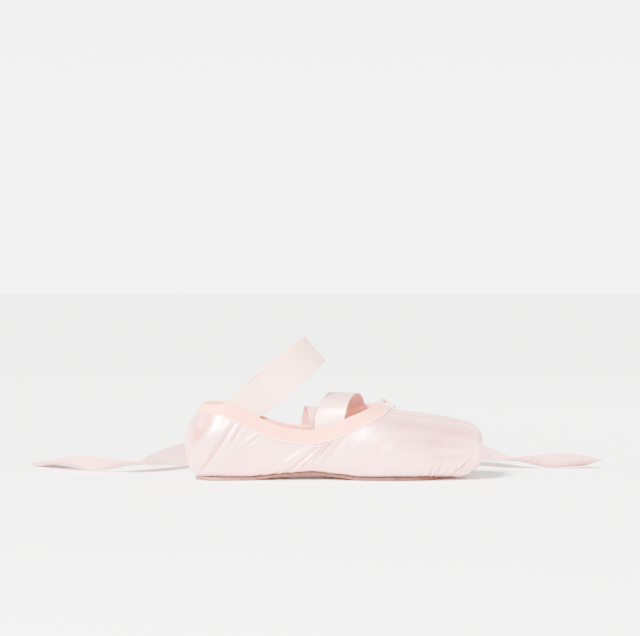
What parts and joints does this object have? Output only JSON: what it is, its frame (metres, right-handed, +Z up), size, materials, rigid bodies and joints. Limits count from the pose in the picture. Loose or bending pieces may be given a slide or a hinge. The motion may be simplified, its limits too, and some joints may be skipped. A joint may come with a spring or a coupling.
{
  "type": "pointe shoe",
  "caption": "satin dance shoe with a stiff flat-ended toe box, waisted leather outsole, bound U collar with drawstring, elastic ankle loop and ribbon ties",
  "frame": {"origin": "on the floor, under the middle of the shoe's length and width, without the ribbons and drawstring", "axes": "+X from heel to toe, +Y across the shoe, +Z up from the floor that the sole stands on"},
  "size_m": [0.4679, 0.1711, 0.1113],
  "materials": {
    "satin": "pale peach-pink satin with a soft sheen",
    "leather": "buffed suede-like sole leather, brown at its cut edge",
    "sock": "cream cotton sock lining",
    "tape": "peach cotton binding tape, machine stitched",
    "elastic": "cream woven elastic",
    "cord": "twisted golden-tan drawstring cord"
  },
  "bodies": {
    "root": {"upper": "satin", "outsole": "leather", "insole": "sock", "binding": "tape", "ankle_strap": "elastic", "ribbon_near": "satin", "ribbon_far": "satin", "drawstring_knot": "cord", "drawstring_end_left": "cord", "drawstring_end_right": "cord"}
  },
  "joints": []
}
